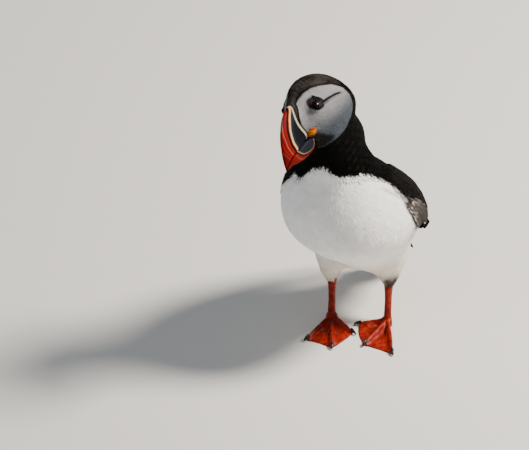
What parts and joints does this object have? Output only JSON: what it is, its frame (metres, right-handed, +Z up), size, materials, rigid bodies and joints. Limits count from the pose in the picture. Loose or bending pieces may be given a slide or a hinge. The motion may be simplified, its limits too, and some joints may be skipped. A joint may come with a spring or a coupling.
{
  "type": "standing atlantic puffin model",
  "caption": "Life-size still Atlantic puffin standing on both webbed feet, head cocked to one side, wings folded over the back and tail.",
  "frame": {"origin": "on the floor, at the middle of the whole bird's bounding box seen from above", "axes": "+Z up; the bird's breast faces -Y; +X is the bird's left side"},
  "size_m": [0.0882, 0.1536, 0.2041],
  "materials": {
    "white_plumage": "soft white breast and belly feathers",
    "black_plumage": "dense black feathers with a faint brown cast",
    "face_plumage": "short pale grey face feathers under a dark crown",
    "bill_horn": "smooth horn: red end, cream ridges, slate base",
    "rosette_skin": "wrinkled orange skin at the corner of the mouth",
    "eye_glaze": "wet dark eye",
    "leg_skin": "scaled red-orange skin",
    "claw_horn": "black horn"
  },
  "bodies": {
    "root": {"bill_lower": "bill_horn", "bill_upper": "bill_horn", "claw_inner_left": "claw_horn", "claw_inner_right": "claw_horn", "claw_middle_left": "claw_horn", "claw_middle_right": "claw_horn", "claw_outer_left": "claw_horn", "claw_outer_right": "claw_horn", "eye_left": "eye_glaze", "eye_right": "eye_glaze", "foot_left": "leg_skin", "foot_right": "leg_skin", "head": "face_plumage", "neck": "black_plumage", "rosette_left": "rosette_skin", "rosette_right": "rosette_skin", "tail": "black_plumage", "tarsus_left": "leg_skin", "tarsus_right": "leg_skin", "thigh_left": "white_plumage", "thigh_right": "white_plumage", "trunk": "white_plumage", "wing_left": "black_plumage", "wing_right": "black_plumage"}
  },
  "joints": []
}
